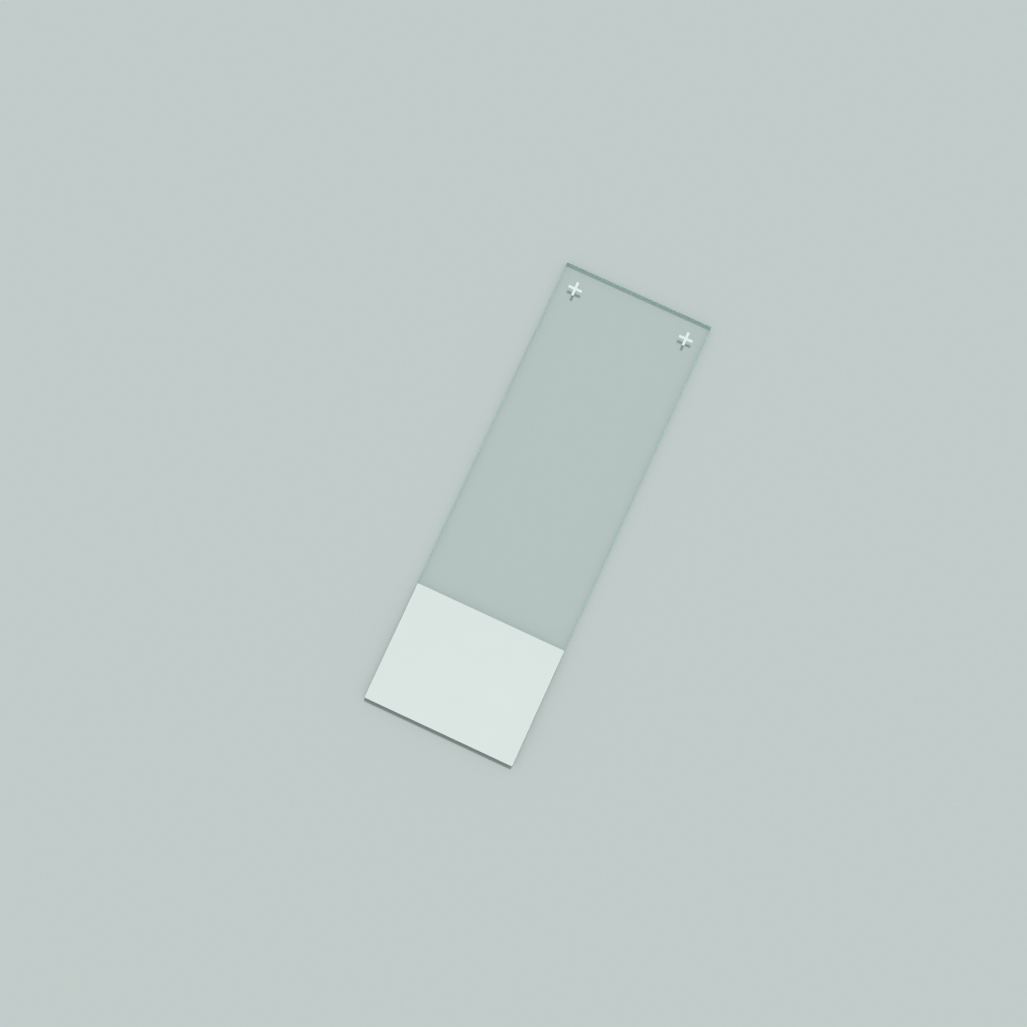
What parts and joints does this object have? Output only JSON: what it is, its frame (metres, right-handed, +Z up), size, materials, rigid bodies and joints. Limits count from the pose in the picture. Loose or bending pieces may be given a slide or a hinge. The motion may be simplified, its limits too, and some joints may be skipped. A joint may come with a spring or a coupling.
{
  "type": "microscope slide",
  "caption": "Clear glass microscope slide with ground edges, a white printed marking area across one end and small white plus marks near the corners of the other end.",
  "frame": {"origin": "middle of the underside of the glass", "axes": "+X along the length towards the plain end with the plus marks, +Y across the width, +Z up out of the printed face"},
  "size_m": [0.075, 0.025, 0.001],
  "materials": {
    "glass": "clear soda-lime glass, polished faces, finely ground pale green edges",
    "marking_area_ink": "matt white screen-printed ink with a fine tooth for pencil",
    "plus_mark_ink": "white screen-printed ink, satin"
  },
  "bodies": {
    "root": {"glass_slide": "glass", "marking_area": "marking_area_ink", "plus_mark_left": "plus_mark_ink", "plus_mark_right": "plus_mark_ink"}
  },
  "joints": []
}
